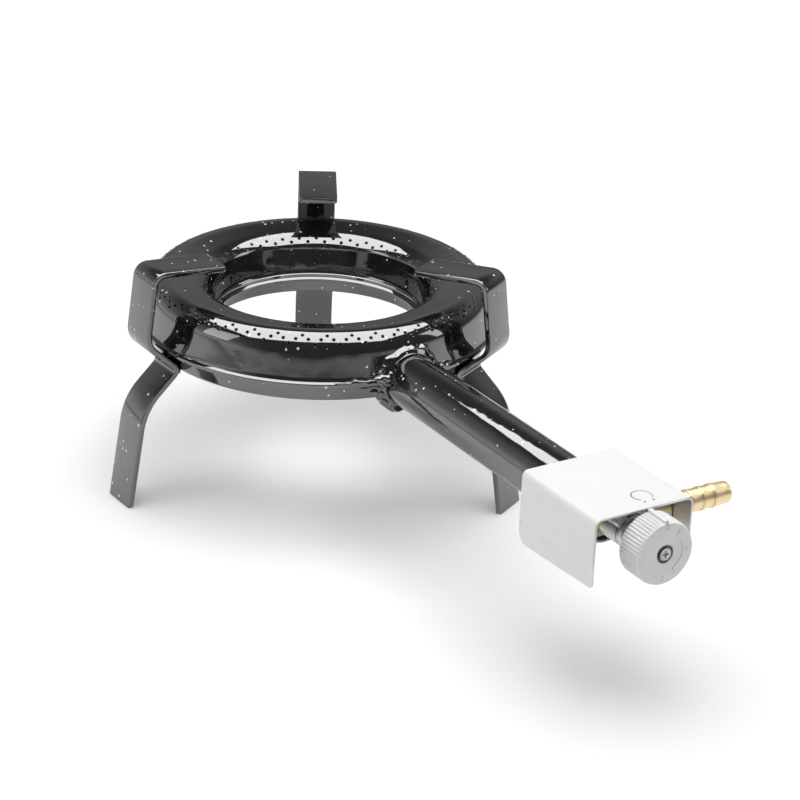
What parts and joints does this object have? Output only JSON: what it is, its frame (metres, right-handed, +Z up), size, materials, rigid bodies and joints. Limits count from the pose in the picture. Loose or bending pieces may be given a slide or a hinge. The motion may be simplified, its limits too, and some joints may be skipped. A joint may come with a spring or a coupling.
{
  "type": "paella burner",
  "caption": "Ring-shaped gas burner on bent flat-bar legs, with a mixing tube, a plug tap with push-and-turn knob, a barbed hose nozzle and a folded sheet guard.",
  "frame": {"origin": "on the floor, on the ring's axis", "axes": "+Z up along the ring's axis; the mixing tube and the knob point along -Y, the hose nozzle along +X"},
  "size_m": [0.2054, 0.3969, 0.12],
  "materials": {
    "enamel": "glossy black vitreous enamel with sparse white specks",
    "zinc_plate": "galvanised sheet, satin",
    "brass": "turned, bright",
    "spring_steel": "plain bright steel",
    "fibre": "matte fibre",
    "knob_plastic": "satin moulded plastic, light grey",
    "label_film": "bare white label film"
  },
  "bodies": {
    "root": {"burner_ring": "enamel", "burner_tray": "enamel", "leg_right": "enamel", "leg_back": "enamel", "leg_left": "enamel", "leg_welds": "enamel", "mixing_tube": "enamel", "tube_weld": "enamel", "air_disc": "zinc_plate", "injector": "brass", "tap_body": "brass", "cover_gasket": "fibre", "cover_plate": "zinc_plate", "cover_screws": "zinc_plate", "nozzle_washer": "fibre", "hose_nozzle": "brass", "guard": "zinc_plate", "guard_label": "label_film"},
    "plug": {"tap_plug": "brass", "return_spring": "spring_steel"},
    "knob": {"spindle": "spring_steel", "knob": "knob_plastic", "knob_screw": "zinc_plate"}
  },
  "joints": [
    {"name": "knob_turn", "type": "hinge", "parent": "root", "child": "plug", "pos_m": [0, -0.2585, 0.0755], "axis": [0, -1, 0], "range_deg": [0, 180]},
    {"name": "knob_push", "type": "slide", "parent": "plug", "child": "knob", "axis": [0, 1, 0], "range_m": [0, 0.002], "stiffness_N_per_m": 800, "springref_m": -0.003, "deforming": ["return_spring"]}
  ]
}
